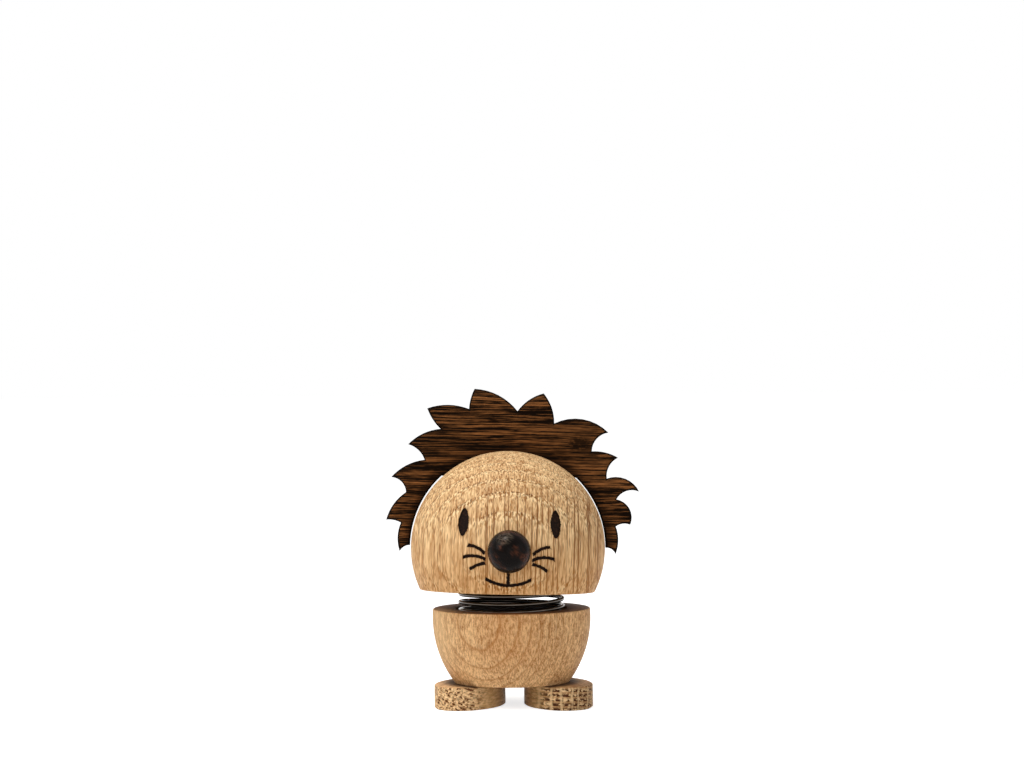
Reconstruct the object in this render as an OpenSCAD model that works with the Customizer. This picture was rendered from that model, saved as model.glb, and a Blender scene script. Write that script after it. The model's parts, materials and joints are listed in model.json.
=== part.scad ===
// Wooden lion with a bobbing head.
// A turned oak body on two oval feet carries a ball-shaped oak head on a wire spring.
// The face looks along -Y, and the origin is on the ground in the middle of the figure.

/* [Feet] */
// Length of each oval foot
foot_len = 28.6; // [26:0.2:34]
// Width of each oval foot
foot_w = 17.7; // [16.4:0.1:20]
// Radius of the oval's two ends
foot_end_r = 6.5; // [5:0.1:7.5]
// Thickness of each foot
foot_t = 6.2; // [5:0.1:9]
// Angle by which the toes point outwards
foot_splay = 17; // [0:1:24]
// Distance between the middles of the two feet
foot_spread = 23.8; // [21:0.1:26]
// Sideways place of the pair of feet under the body
foot_shift = 0.6; // [-1:0.1:1]
// Distance of the feet in front of the spring's axis
foot_forward = 0.8; // [-2:0.1:3]
// Turn of the pair of feet about the spring's axis
foot_turn = -2.5; // [-8:0.5:8]

/* [Foot dowels] */
// Diameter of the dowels that join a foot to the body
dowel_d = 4; // [3:0.5:5]
// Depth of a dowel in the foot
dowel_in_foot = 3.6; // [2:0.1:4]
// Depth of a dowel in the body
dowel_in_body = 6; // [4:0.5:9]
// Distance of the dowels from the foot's middle line, towards the body's axis
dowel_inset = 4; // [2:0.5:5]
// Distance between the two dowels of a foot
dowel_pitch = 9; // [7:0.5:10]
// Distance of the pair of dowels behind the foot's middle
dowel_back = 1.5; // [0:0.5:3]

/* [Body] */
// Height of the body
body_h = 20; // [17:0.5:26]
// Widest diameter of the body
body_d = 42.6; // [40:0.2:48]
// Diameter of the flat base
body_base_d = 30.8; // [29:0.2:34]
// Height of the widest place above the base
body_belly_h = 17.6; // [14:0.2:18.4]
// Rounding of the upper rim
body_rim_r = 0.4; // [0.3:0.1:1.5]
// Rounding of the edge round the base
body_base_r = 0.7; // [0.3:0.1:1.5]

/* [Spring] */
// Outer diameter of the coil
spring_d = 28.8; // [24:0.2:30]
// Diameter of the wire
wire_d = 1.1; // [0.8:0.1:1.4]
// Number of turns between the two bent ends
spring_turns = 6.7; // [4:0.1:6.8]
// Angle at which the lowest turn begins
spring_start = 200; // [0:1:359]
// Angle by which the turns in the gap lean forwards under the settled head
spring_lean = 0.5; // [0:0.5:2.5]
// Rise of the turns at the two sides, half-way through the gap
spring_wave = 0.2; // [0:0.05:0.4]
// Height inside each groove over which the coil starts to bend
spring_bend_in = 3; // [2:0.5:4]
// Bend radius of the wire at its two ends
spring_bend_r = 1.5; // [1.2:0.1:2]
// Straight length of the wire in each hole
spring_leg = 2.6; // [1.5:0.1:4]
// Depth of the ring grooves that hold the spring
groove_h = 6; // [4:0.5:8]
// Room beside the wire in the grooves
groove_gap = 0.75; // [0.4:0.05:1]

/* [Head] */
// Diameter of the ball-shaped head
head_d = 52.4; // [48:0.2:58]
// Distance of the flat underside below the middle of the ball
head_drop = 11.5; // [10.5:0.5:14]
// Rounding of the edge round the underside
head_edge_r = 0.6; // [0.3:0.1:1.2]
// Gap between the body and the head
head_gap = 4.6; // [4:0.1:8]
// Sideways offset at which the head settles on its spring
head_shift = -1.1; // [-1.5:0.1:1.5]
// Angle by which the settled head leans back
head_back = 1.9; // [-2:0.1:3]
// Angle by which the settled head leans to +X
head_roll = 1.35; // [-2:0.05:2]
// Angle by which the settled head is turned
head_turn = 0.7; // [-4:0.1:4]

/* [Mane] */
// Reach of the longest tuft past the ball
mane_reach = 17.8; // [14:0.1:20]
// Thickness of the mane plate
mane_t = 4; // [3:0.1:6]
// Distance of the plate's middle behind the middle of the ball
mane_back = 4; // [2:0.5:8]
// Depth of the saw slot below the top of the ball
mane_slot = 7; // [5:0.2:9]
// Gap between the ball and the plate beside the slot
mane_gap = 0.35; // [0.2:0.05:1]

/* [Nose] */
// Diameter of the nose ball
nose_d = 11.3; // [10:0.1:13]
// Diameter of the flat where the nose is glued on
nose_flat_d = 9.2; // [6:0.1:9.8]
// Diameter of the peg in the nose
peg_d = 4; // [3:0.5:5]
// Depth of the peg in the nose
peg_in_nose = 4.5; // [3:0.5:5]
// Depth of the peg in the head
peg_in_head = 7; // [5:0.5:12]

/* [Face] */
// Depth of the burnt lines of the face
face_depth = 0.35; // [0.2:0.05:0.8]
// Angle by which the face leans to +X against the flat underside
face_lean = 0.7; // [-3:0.1:3]
// Width of an eye
eye_w = 2.7; // [1.6:0.1:4]
// Height of an eye
eye_h = 7.3; // [5:0.1:9]
// Radius of an eye's two ends
eye_end_r = 0.55; // [0.3:0.05:0.7]
// Distance of an eye from the middle of the face
eye_x = 12.1; // [9:0.1:14]
// Height of the eyes above the middle of the ball
eye_z = 7.2; // [5:0.1:9]
// Angle by which the eyes lean together at the top
eye_lean = 4; // [0:1:12]
// Width of the whiskers and the mouth line
line_w = 0.8; // [0.4:0.05:1]
// Distance of the longest whisker's outer end from the middle of the face
whisker_reach = 12; // [10:0.1:13]
// Width of the mouth
mouth_w = 12; // [9:0.2:16]
// Height of the mouth's corners above its middle
mouth_rise = 1.6; // [0.8:0.1:2.4]
// Distance of the mouth's middle below the middle of the ball
mouth_z = 9; // [7.8:0.1:9.6]
// Height of the short line between the mouth and the nose
lip_h = 3.2; // [2:0.1:4]

/* [Fits] */
// Clearance round glued dowels, pegs and the mane plate
glue_gap = 0.05; // [0.03:0.01:0.15]
// Clearance round the spring's ends in their holes
wire_gap = 0.1; // [0.05:0.01:0.2]

/* [Hidden] */
$fn = 96;
LEFT = -1;
RIGHT = 1;
OAK = "#d2a878";
PALE_OAK = "#dcb888";
DOWEL_BEECH = "#e2c79c";
SMOKED_OAK = "#3d2617";
BLACK_STEEL = "#202022";

// Reach of cutting shapes past the surface that they cut
over = 1;
// Extra depth of a blind hole past the end of its dowel, peg or wire
hole_end = 0.2;
// Width of the faced seat that shows round the nose's flat
nose_seat_rim = 0.3;

body_r = body_d / 2;
body_base_edge = body_base_d / 2;
head_r = head_d / 2;
nose_r = nose_d / 2;
wire_r = wire_d / 2;
body_top = foot_t + body_h;
head_z = body_top + head_gap;

// The body's side is one arc, upright at the belly and running down to the edge of the base
side_in = body_r - body_base_edge;
side_r = (body_belly_h ^ 2 + side_in ^ 2) / (2 * side_in);
side_x = body_r - side_r;

spring_r = spring_d / 2 - wire_r;
spring_low = body_top - groove_h + spring_bend_r;
spring_high = head_z + groove_h - spring_bend_r;
spring_pitch = (spring_high - spring_low) / spring_turns;
RINGS_A_TURN = 24;
WIRE_SIDES = 8;
BEND_STEPS = 4;

// The nose sits on a flat that is faced into the front of the ball
nose_seat_r = nose_flat_d / 2 + nose_seat_rim;
nose_seat_y = -sqrt(head_r ^ 2 - nose_seat_r ^ 2);
nose_off = sqrt(nose_r ^ 2 - (nose_flat_d / 2) ^ 2);
nose_y = nose_seat_y - glue_gap - nose_off;

// Edge of the mane plate from the left lower tuft over the top to the right one
// Each point: angle from the top of the head, reach past the ball, rise of the arc to the next point,
// with the reach and the rise as shares of the longest tuft's reach
MANE_EDGE = [
    [-89.6, -0.046, -0.045],
    [-92.6, 0.175, 0.041],
    [-77.6, 0.2, -0.017],
    [-77.8, 0.428, 0.048],
    [-62.2, 0.294, -0.062],
    [-59.6, 0.604, 0.053],
    [-44.3, 0.372, -0.043],
    [-44.8, 0.716, 0.05],
    [-30.4, 0.608, 0.022],
    [-30.9, 0.98, 0.058],
    [-16.5, 0.722, 0.017],
    [-12.7, 1, 0.081],
    [3.2, 0.613, 0.043],
    [12.2, 0.941, 0.044],
    [19.6, 0.548, 0.136],
    [40.3, 0.856, -0.071],
    [40.2, 0.474, 0.032],
    [49.9, 0.695, -0.059],
    [54.3, 0.364, 0.105],
    [66, 0.703, -0.071],
    [65.1, 0.338, 0.107],
    [78.5, 0.425, -0.03],
    [78, 0.203, 0.039],
    [92.3, 0.173, -0.034],
    [89.2, -0.006, 0]
];
MANE_STEPS = 8;

// Whiskers of one cheek, each from its outer end to its inner end, with the rise of its arc,
// as shares of the longest whisker's reach
WHISKERS = [
    [[0.9, 0.105], [0.525, -0.065], 0.04],
    [[1, -0.16], [0.51, -0.19], 0.05],
    [[0.845, -0.425], [0.515, -0.275], 0.025]
];
LINE_STEPS = 6;

function unit(v) = v / norm(v);
function ray(a) = [cos(a), sin(a)];
function ease(t) = let (u = min(max(t, 0), 1)) u * u * (3 - 2 * u);

function about_x(p, a) = [p.x, p.y * cos(a) - p.z * sin(a), p.y * sin(a) + p.z * cos(a)];
function about_y(p, a) = [p.x * cos(a) + p.z * sin(a), p.y, p.z * cos(a) - p.x * sin(a)];
function about_z(p, a) = [p.x * cos(a) - p.y * sin(a), p.x * sin(a) + p.y * cos(a), p.z];

// A point of the head, given from the middle of its underside, where the head has settled
function settled(p) =
    [head_shift, 0, head_z] + about_z(about_y(about_x(p, -head_back), head_roll), head_turn);

// A point of the upright coil, given in the head, whose groove lies on the spring's axis
function head_coil(p) = p - [head_shift, 0, head_z];

function mane_point(i) =
    let (row = MANE_EDGE[i])
    (head_r + row[1] * mane_reach) * [sin(row[0]), cos(row[0])];

// The spring's axis is placed so that the figure is centred, from the mane's left tuft to its right
// one and from the nose to the back of the head
mane_x = [for (i = [0 : len(MANE_EDGE) - 1])
    let (m = mane_point(i))
    settled([m.x, mane_back, head_drop + m.y]).x];
axis_x = -(min(mane_x) + max(mane_x)) / 2;
front_y = settled([0, nose_y, head_drop]).y - nose_r;
back_y = settled([0, 0, head_drop]).y + head_r;
axis_y = -(front_y + back_y) / 2;

// Points of a circular arc from p to q that rises to the left of that direction
function arc(p, q, rise, steps) =
    rise == 0 ? [p, q] :
    let (
        half = norm(q - p) / 2,
        along = unit(q - p),
        up = [-along.y, along.x],
        r = (half ^ 2 + rise ^ 2) / (2 * rise),
        a = asin(half / r)
    )
    [for (i = [0 : steps])
        let (t = a * (2 * i / steps - 1))
        (p + q) / 2 + along * r * sin(t) + up * (rise - r + r * cos(t))];

// Outline of a line of even width along an arc
function line_along(p, q, rise, width) =
    let (
        mid = arc(p, q, rise, LINE_STEPS),
        last = len(mid) - 1,
        side = [for (i = [0 : last])
            let (d = unit(mid[min(i + 1, last)] - mid[max(i - 1, 0)]))
            [-d.y, d.x] * width / 2]
    )
    concat(
        [for (i = [0 : last]) mid[i] + side[i]],
        [for (i = [last : -1 : 0]) mid[i] - side[i]]
    );

function mane_outline() =
    [for (i = [0 : len(MANE_EDGE) - 2])
        each arc(mane_point(i), mane_point(i + 1), MANE_EDGE[i][2] * mane_reach, MANE_STEPS)];

// The wire's path as wound, upright on the body: bent lower end, turns, bent upper end
function coil_point(t) =
    concat(spring_r * ray(spring_start + 360 * t), spring_low + spring_pitch * t);
function coil_along(t) = concat(ray(spring_start + 360 * t + 90), 0);
function end_point(t, way, a) =
    coil_point(t) + way * spring_bend_r * (coil_along(t) * sin(a) + [0, 0, 1 - cos(a)]);
function end_tip(t, way) = end_point(t, way, 90) + [0, 0, way * spring_leg];
function bent_end(t, way) =
    [for (i = [1 : BEND_STEPS]) end_point(t, way, 90 * i / BEND_STEPS)];

coil_steps = ceil(spring_turns * RINGS_A_TURN);
low_bend = bent_end(0, -1);
wound_path = concat(
    [end_tip(0, -1)],
    [for (i = [BEND_STEPS - 1 : -1 : 0]) low_bend[i]],
    [for (i = [0 : coil_steps]) coil_point(spring_turns * i / coil_steps)],
    bent_end(spring_turns, 1),
    [end_tip(spring_turns, 1)]
);

// Through the gap the wire passes from the upright coil to the settled head's coil,
// and its turns lean forwards and rise at the sides most half-way
function settled_wire(p) =
    let (
        way = (p.z - body_top + spring_bend_in) / (head_gap + 2 * spring_bend_in),
        share = ease(way),
        most = ease(1 - abs(2 * way - 1)),
        rise = p.y * tan(spring_lean * most) + spring_wave * most * (p.x ^ 2 - p.y ^ 2) / spring_r ^ 2
    )
    p * (1 - share) + settled(head_coil(p)) * share + [0, 0, rise];

spring_path = [for (p = wound_path) settled_wire(p)];
// Outward direction from the coil's axis, which stays the same along each bent end
spring_out = [for (i = [0 : len(wound_path) - 1])
    let (turn = min(max(i - BEND_STEPS - 1, 0), coil_steps) / coil_steps)
    concat(ray(spring_start + 360 * spring_turns * turn), 0)];

// Closest approach of the wire to itself, between rings that are half a turn or more apart
spring_self_gap = min([for (i = [0 : len(spring_path) - 1])
    for (j = [i + RINGS_A_TURN / 2 : 1 : len(spring_path) - 1])
        norm(spring_path[i] - spring_path[j])]) - wire_d;
echo(spring_self_gap = spring_self_gap);

function wire_ring(i) =
    let (
        last = len(spring_path) - 1,
        d = unit(spring_path[min(i + 1, last)] - spring_path[max(i - 1, 0)]),
        out = unit(spring_out[i] - d * (d * spring_out[i])),
        side = cross(d, out)
    )
    [for (k = [0 : WIRE_SIDES - 1])
        spring_path[i] + wire_r * (out * cos(360 * k / WIRE_SIDES) + side * sin(360 * k / WIRE_SIDES))];

module on_axis() {
    translate([axis_x, axis_y, 0]) children();
}

module in_head() {
    on_axis()
        translate([head_shift, 0, head_z])
            rotate([-head_back, head_roll, head_turn])
                children();
}

// Places a foot, its dowels or their holes under the left or the right side
module at_foot(side) {
    on_axis()
        rotate([0, 0, foot_turn])
            translate([foot_shift + side * foot_spread / 2, -foot_forward, 0])
                rotate([0, 0, side * foot_splay])
                    children();
}

// Removes what lies outside a rounded corner, between two directions from the corner's centre
module corner_cut(centre, r, from, to) {
    reach = 3 * r;
    difference() {
        translate(centre)
            polygon([[0, 0], reach * ray(from), 1.5 * reach * ray((from + to) / 2), reach * ray(to)]);
        translate(centre) circle(r);
    }
}

module body_profile() {
    rim = [
        side_x + sqrt((side_r - body_rim_r) ^ 2 - (body_h - body_rim_r - body_belly_h) ^ 2),
        body_h - body_rim_r
    ];
    base = [
        side_x + sqrt((side_r - body_base_r) ^ 2 - (body_base_r - body_belly_h) ^ 2),
        body_base_r
    ];
    difference() {
        intersection() {
            translate([side_x, body_belly_h]) circle(side_r, $fn = 4 * $fn);
            square([body_r + over, body_h]);
        }
        corner_cut(rim, body_rim_r, atan2(rim.y - body_belly_h, rim.x - side_x), 90);
        corner_cut(base, body_base_r, -90, atan2(base.y - body_belly_h, base.x - side_x));
    }
}

module head_profile() {
    edge = [sqrt((head_r - head_edge_r) ^ 2 - (head_drop - head_edge_r) ^ 2), head_edge_r];
    difference() {
        intersection() {
            translate([0, head_drop]) circle(head_r, $fn = 2 * $fn);
            square([head_r + over, head_drop + head_r + over]);
        }
        corner_cut(edge, head_edge_r, -90, atan2(edge.y - head_drop, edge.x));
    }
}

// Ring groove for the coil, cut downwards from z = 0
module spring_groove() {
    translate([0, 0, -groove_h])
        difference() {
            cylinder(h = groove_h + over, r = spring_r + wire_r + groove_gap);
            translate([0, 0, -over])
                cylinder(h = groove_h + 3 * over, r = spring_r - wire_r - groove_gap);
        }
}

// Hole for one straight end of the wire, along Z through the bottom of the groove
module wire_hole(tip, way) {
    translate(tip + [0, 0, way * hole_end])
        mirror([0, 0, way > 0 ? 1 : 0])
            cylinder(h = spring_leg + hole_end + over, r = wire_r + wire_gap, $fn = 24);
}

// The two dowels of a foot, or their holes when gap is given
module dowel_pair(side, gap = 0) {
    end = gap > 0 ? hole_end : 0;
    for (along = [-1, 1])
        translate([
            -side * dowel_inset,
            dowel_back + along * dowel_pitch / 2,
            foot_t - dowel_in_foot - end
        ])
            cylinder(h = dowel_in_foot + dowel_in_body + 2 * end, d = dowel_d + 2 * gap, $fn = 32);
}

// Oval of four arcs with its length along Y: two round ends and two flatter flanks
module oval(length, width, end_r) {
    end_y = length / 2 - end_r;
    flank_in = width / 2 - end_r;
    flank_x = (end_y ^ 2 - flank_in ^ 2) / (2 * flank_in);
    flank_r = width / 2 + flank_x;
    join_y = end_y * flank_r / (flank_r - end_r);
    for (way = [-1, 1])
        translate([0, way * end_y]) circle(end_r);
    intersection() {
        square([width, 2 * join_y], center = true);
        translate([flank_x, 0]) circle(flank_r, $fn = 2 * $fn);
        translate([-flank_x, 0]) circle(flank_r, $fn = 2 * $fn);
    }
}

module foot(side) {
    difference() {
        linear_extrude(foot_t) oval(foot_len, foot_w, foot_end_r);
        dowel_pair(side, glue_gap);
    }
}

// The peg that holds the nose, or its hole when gap is given, along Y through the nose's flat
module peg_shape(gap = 0) {
    end = gap > 0 ? hole_end : 0;
    translate([0, nose_seat_y + peg_in_head + end, head_drop])
        rotate([90, 0, 0])
            cylinder(h = peg_in_head + peg_in_nose + 2 * end, d = peg_d + 2 * gap, $fn = 32);
}

// The burnt face, drawn about the middle of the ball
module face_outline() {
    for (side = [-1, 1]) {
        translate([side * eye_x, eye_z]) rotate(side * eye_lean) oval(eye_h, eye_w, eye_end_r);
        for (whisker = WHISKERS * whisker_reach)
            scale([side, 1]) polygon(line_along(whisker[0], whisker[1], -whisker[2], line_w));
    }
    corner = [mouth_w / 2, mouth_rise - mouth_z];
    polygon(line_along([-corner.x, corner.y], corner, -mouth_rise, line_w));
    translate([-line_w / 2, -mouth_z]) square([line_w, lip_h]);
}

// Shallow recess of the face, with a floor that follows the ball
module face_cut() {
    translate([0, 0, head_drop])
        difference() {
            rotate([90, face_lean, 0]) linear_extrude(head_r + over) face_outline();
            sphere(head_r - face_depth);
        }
}

module mane_slot_cut(gap) {
    width = mane_t + 2 * gap;
    translate([-head_r - over, mane_back - width / 2, head_drop + head_r - mane_slot])
        cube([2 * (head_r + over), width, mane_slot + over]);
}

module body() {
    color(OAK)
        difference() {
            on_axis() translate([0, 0, foot_t]) rotate_extrude($fn = 2 * $fn) body_profile();
            on_axis() translate([0, 0, body_top]) spring_groove();
            on_axis() wire_hole(end_tip(0, -1), -1);
            for (side = [LEFT, RIGHT])
                at_foot(side) dowel_pair(side, glue_gap);
        }
}

module left_foot() {
    color(PALE_OAK) at_foot(LEFT) foot(LEFT);
}

module right_foot() {
    color(PALE_OAK) at_foot(RIGHT) foot(RIGHT);
}

module left_foot_dowels() {
    color(DOWEL_BEECH) at_foot(LEFT) dowel_pair(LEFT);
}

module right_foot_dowels() {
    color(DOWEL_BEECH) at_foot(RIGHT) dowel_pair(RIGHT);
}

module spring() {
    rings = [for (i = [0 : len(spring_path) - 1]) wire_ring(i)];
    last = (len(rings) - 1) * WIRE_SIDES;
    walls = [for (i = [0 : len(rings) - 2])
        for (k = [0 : WIRE_SIDES - 1])
            let (a = i * WIRE_SIDES + k, b = i * WIRE_SIDES + (k + 1) % WIRE_SIDES)
            each [[a, a + WIRE_SIDES, b], [b, a + WIRE_SIDES, b + WIRE_SIDES]]];
    caps = [for (k = [1 : WIRE_SIDES - 2])
        each [[0, k, k + 1], [last, last + k + 1, last + k]]];
    color(BLACK_STEEL)
        on_axis()
            polyhedron([for (r = rings) each r], concat(walls, caps));
}

module head() {
    color(PALE_OAK)
        in_head()
            difference() {
                rotate_extrude($fn = 2 * $fn) head_profile();
                translate(head_coil([0, 0, head_z])) mirror([0, 0, 1]) spring_groove();
                wire_hole(head_coil(end_tip(spring_turns, 1)), 1);
                mane_slot_cut(glue_gap);
                translate([0, nose_seat_y, head_drop])
                    rotate([90, 0, 0]) cylinder(h = head_r, r = nose_seat_r);
                peg_shape(glue_gap);
                face_cut();
            }
}

module mane() {
    seat = head_r - mane_slot + glue_gap;
    color(SMOKED_OAK)
        in_head()
            translate([0, mane_back + mane_t / 2, head_drop])
                rotate([90, 0, 0])
                    linear_extrude(mane_t)
                        difference() {
                            polygon(mane_outline());
                            intersection() {
                                circle(head_r + mane_gap, $fn = 2 * $fn);
                                translate([-head_d, -head_d]) square([2 * head_d, head_d + seat]);
                            }
                        }
}

module nose() {
    hole_r = peg_d / 2 + glue_gap;
    color(SMOKED_OAK)
        in_head()
            translate([0, nose_y, head_drop])
                rotate([90, 0, 0])
                    rotate_extrude()
                        difference() {
                            intersection() {
                                circle(nose_r);
                                translate([0, -nose_off]) square(2 * nose_r);
                            }
                            translate([-hole_r, -nose_off - over])
                                square([2 * hole_r, peg_in_nose + hole_end + over]);
                        }
}

module nose_peg() {
    color(DOWEL_BEECH) in_head() peg_shape();
}

body();
left_foot();
right_foot();
left_foot_dowels();
right_foot_dowels();
spring();
head();
mane();
nose();
nose_peg();
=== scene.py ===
"""Looks of a wooden lion whose head bobs on a wire spring.

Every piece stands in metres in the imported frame: +Z is up and the face looks along -Y.
Sizes in the classes are in millimetres, and angles are in degrees.
"""

import json
import logging
import math
from collections.abc import Mapping, Sequence
from dataclasses import dataclass, field, replace
from enum import Enum
from functools import cached_property

import bmesh
import bpy
from mathutils import Matrix, Vector


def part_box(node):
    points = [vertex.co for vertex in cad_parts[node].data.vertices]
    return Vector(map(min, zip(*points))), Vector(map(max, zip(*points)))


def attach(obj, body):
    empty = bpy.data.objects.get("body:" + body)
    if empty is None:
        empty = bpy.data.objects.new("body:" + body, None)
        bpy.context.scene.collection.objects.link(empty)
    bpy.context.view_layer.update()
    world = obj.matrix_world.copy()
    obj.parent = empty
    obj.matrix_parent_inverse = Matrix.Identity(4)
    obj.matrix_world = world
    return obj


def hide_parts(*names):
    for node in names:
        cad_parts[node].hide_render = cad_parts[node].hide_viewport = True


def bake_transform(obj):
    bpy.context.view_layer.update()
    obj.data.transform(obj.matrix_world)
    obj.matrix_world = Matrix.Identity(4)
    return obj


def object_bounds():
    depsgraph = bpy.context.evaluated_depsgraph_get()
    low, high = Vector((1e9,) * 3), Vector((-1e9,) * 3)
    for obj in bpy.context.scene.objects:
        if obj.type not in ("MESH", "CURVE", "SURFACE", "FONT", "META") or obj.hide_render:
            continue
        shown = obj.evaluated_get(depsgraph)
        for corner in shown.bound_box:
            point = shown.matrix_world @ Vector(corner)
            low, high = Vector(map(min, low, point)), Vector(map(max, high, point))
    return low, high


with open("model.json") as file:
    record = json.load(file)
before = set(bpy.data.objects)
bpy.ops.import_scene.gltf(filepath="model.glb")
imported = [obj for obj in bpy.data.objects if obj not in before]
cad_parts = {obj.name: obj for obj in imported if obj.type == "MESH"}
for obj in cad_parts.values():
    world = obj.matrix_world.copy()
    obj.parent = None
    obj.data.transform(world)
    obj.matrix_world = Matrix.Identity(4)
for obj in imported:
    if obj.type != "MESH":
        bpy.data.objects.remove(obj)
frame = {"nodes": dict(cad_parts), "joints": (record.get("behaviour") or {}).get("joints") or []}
CAD_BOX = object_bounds()

MM = 0.001
BODY_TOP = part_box("body")[1].z
SPRING_AXIS = Vector((*frame["joints"][0]["pos_m"][:2], 0))
RIGHT = Vector((1, 0, 0))
BACK = Vector((0, 1, 0))
UP = Vector((0, 0, 1))
LOG = logging.getLogger("lion")

Colour = tuple[float, float, float, float]
Point = tuple[float, float]


class Body(str, Enum):
    """The bodies of the frame that pieces ride on."""

    BASE = "base"
    SPRING = "spring"
    HEAD = "head"


class Side(Enum):
    """The two sides of the figure, with the sign of X on each."""

    LEFT = -1
    RIGHT = 1


class Slot(str, Enum):
    """The record's material slots."""

    OAK_BODY = "oak_body"
    OAK_FEET = "oak_feet"
    OAK_HEAD = "oak_head"
    DARK_WOOD = "dark_wood"
    DARK_NOSE = "dark_nose"
    BEECH_DOWELS = "beech_dowels"
    BLACK_STEEL = "black_steel"


def srgb(red: float, green: float, blue: float) -> Colour:
    """Turns a display colour into the linear colour that sockets take.

    Args:
        red: Red from 0 to 255.
        green: Green from 0 to 255.
        blue: Blue from 0 to 255.

    Returns:
        The linear colour with full opacity.
    """
    shares = (red / 255, green / 255, blue / 255)
    linear = [s / 12.92 if s <= 0.04045 else ((s + 0.055) / 1.055) ** 2.4 for s in shares]
    return (linear[0], linear[1], linear[2], 1.0)


def grey(level: float) -> Colour:
    """Gives the grey of a linear level, with full opacity."""
    return (level, level, level, 1.0)


class Wire:
    """An output socket whose arithmetic adds nodes to the same tree."""

    def __init__(self, graph: "Graph", socket: bpy.types.NodeSocket | None) -> None:
        """Keeps the socket and the tree that it belongs to."""
        self.graph = graph
        self.socket = socket

    def __add__(self, other: "Value") -> "Wire":
        """Adds a value."""
        return self.graph.math("ADD", self, other)

    def __radd__(self, other: "Value") -> "Wire":
        """Adds this to a value."""
        return self.graph.math("ADD", other, self)

    def __sub__(self, other: "Value") -> "Wire":
        """Takes a value away."""
        return self.graph.math("SUBTRACT", self, other)

    def __rsub__(self, other: "Value") -> "Wire":
        """Takes this away from a value."""
        return self.graph.math("SUBTRACT", other, self)

    def __mul__(self, other: "Value") -> "Wire":
        """Multiplies by a value."""
        return self.graph.math("MULTIPLY", self, other)

    def __rmul__(self, other: "Value") -> "Wire":
        """Multiplies a value by this."""
        return self.graph.math("MULTIPLY", other, self)

    def __truediv__(self, other: "Value") -> "Wire":
        """Divides by a value."""
        return self.graph.math("DIVIDE", self, other)

    def __rtruediv__(self, other: "Value") -> "Wire":
        """Divides a value by this."""
        return self.graph.math("DIVIDE", other, self)

    def __abs__(self) -> "Wire":
        """Drops the sign."""
        return self.graph.math("ABSOLUTE", self)

    def fraction(self) -> "Wire":
        """Keeps what is left past the whole number below."""
        return self.graph.math("FRACT", self)

    def least(self, other: "Value") -> "Wire":
        """Takes the smaller of two values."""
        return self.graph.math("MINIMUM", self, other)

    def most(self, other: "Value") -> "Wire":
        """Takes the larger of two values."""
        return self.graph.math("MAXIMUM", self, other)

    def rises(self, low: float, high: float) -> "Wire":
        """Goes smoothly from 0 at the low value to 1 at the high one."""
        return self._eased(low, high, 0.0, 1.0)

    def falls(self, low: float, high: float) -> "Wire":
        """Goes smoothly from 1 at the low value to 0 at the high one."""
        return self._eased(low, high, 1.0, 0.0)

    def _eased(self, low: float, high: float, start: float, end: float) -> "Wire":
        """Maps a stretch of values onto another, level at both ends."""
        return self.graph.node(
            "ShaderNodeMapRange",
            {"interpolation_type": "SMOOTHSTEP"},
            {"Value": self, "From Min": low, "From Max": high, "To Min": start, "To Max": end},
        )

    def dot(self, axis: Sequence[float]) -> "Wire":
        """Measures a vector along an axis."""
        return self.graph.vector("DOT_PRODUCT", self, axis, output="Value")

    def length(self) -> "Wire":
        """Measures the length of a vector."""
        return self.graph.vector("LENGTH", self, output="Value")


Value = Wire | float | Sequence[float]


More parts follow.
